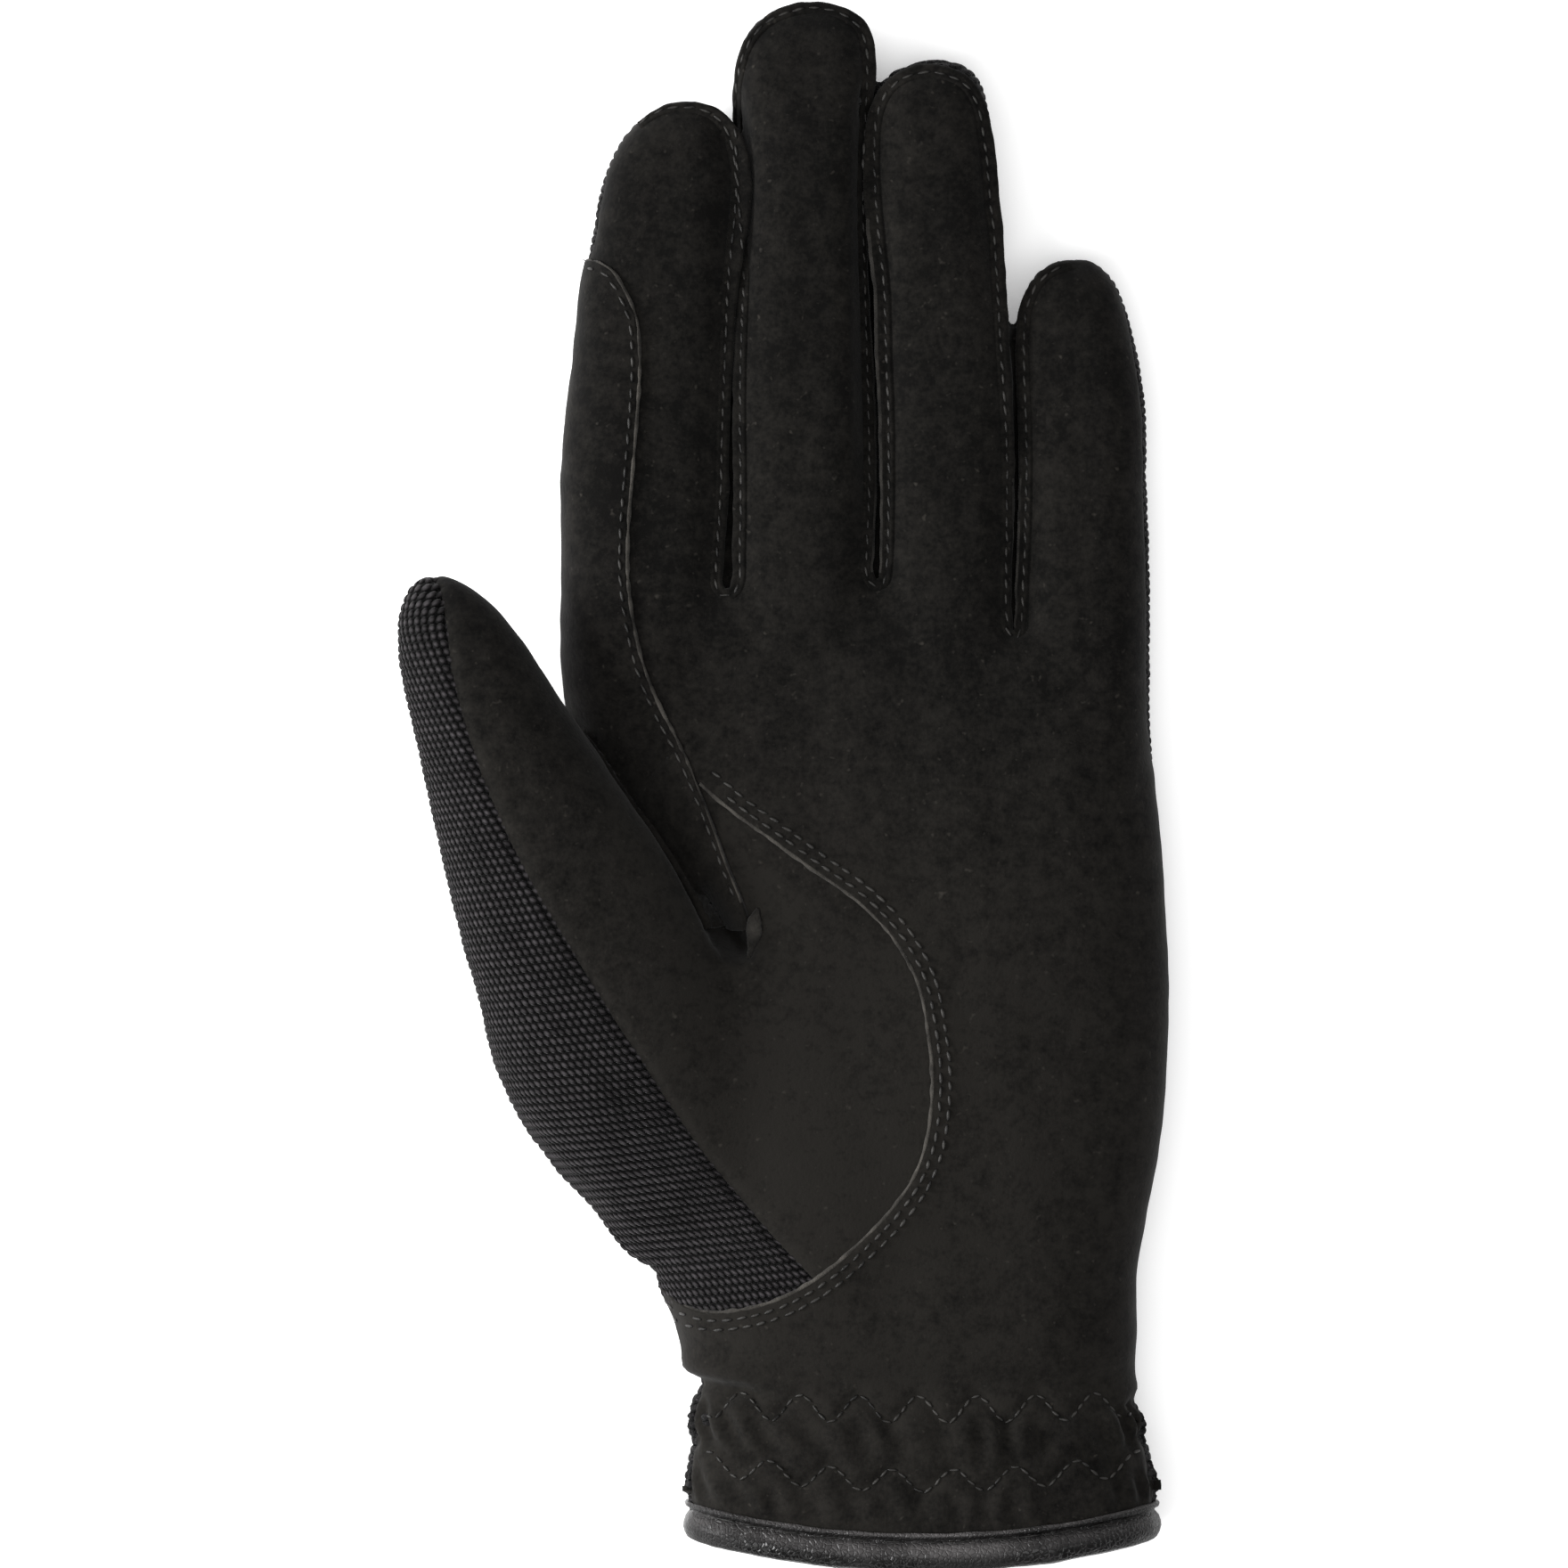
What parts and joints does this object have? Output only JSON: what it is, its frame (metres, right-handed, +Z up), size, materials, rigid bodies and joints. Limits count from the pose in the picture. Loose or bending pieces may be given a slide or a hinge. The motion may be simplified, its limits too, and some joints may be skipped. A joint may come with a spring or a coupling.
{
  "type": "horse riding glove",
  "caption": "Left-hand horse riding glove of black suede and knit, palm up, with a separate thumb, elastic gathered wrist and bound hem.",
  "frame": {"origin": "on the surface that the glove's back rests on, under the middle of its box", "axes": "+Z up out of the palm, +Y from the hem to the fingertips, thumb towards -X"},
  "size_m": [0.1128, 0.23, 0.034],
  "materials": {
    "suede": "black suede with a short nap",
    "knit": "black corded knit",
    "smooth_leather": "smooth black leather with a soft gloss"
  },
  "bodies": {
    "root": {"palm_panel": "suede", "back_panel": "knit", "fourchette_index_middle": "suede", "fourchette_middle_ring": "suede", "fourchette_ring_little": "suede", "index_guard": "suede", "thumb_front": "suede", "thumb_back": "knit", "hem_binding": "smooth_leather"}
  },
  "joints": []
}
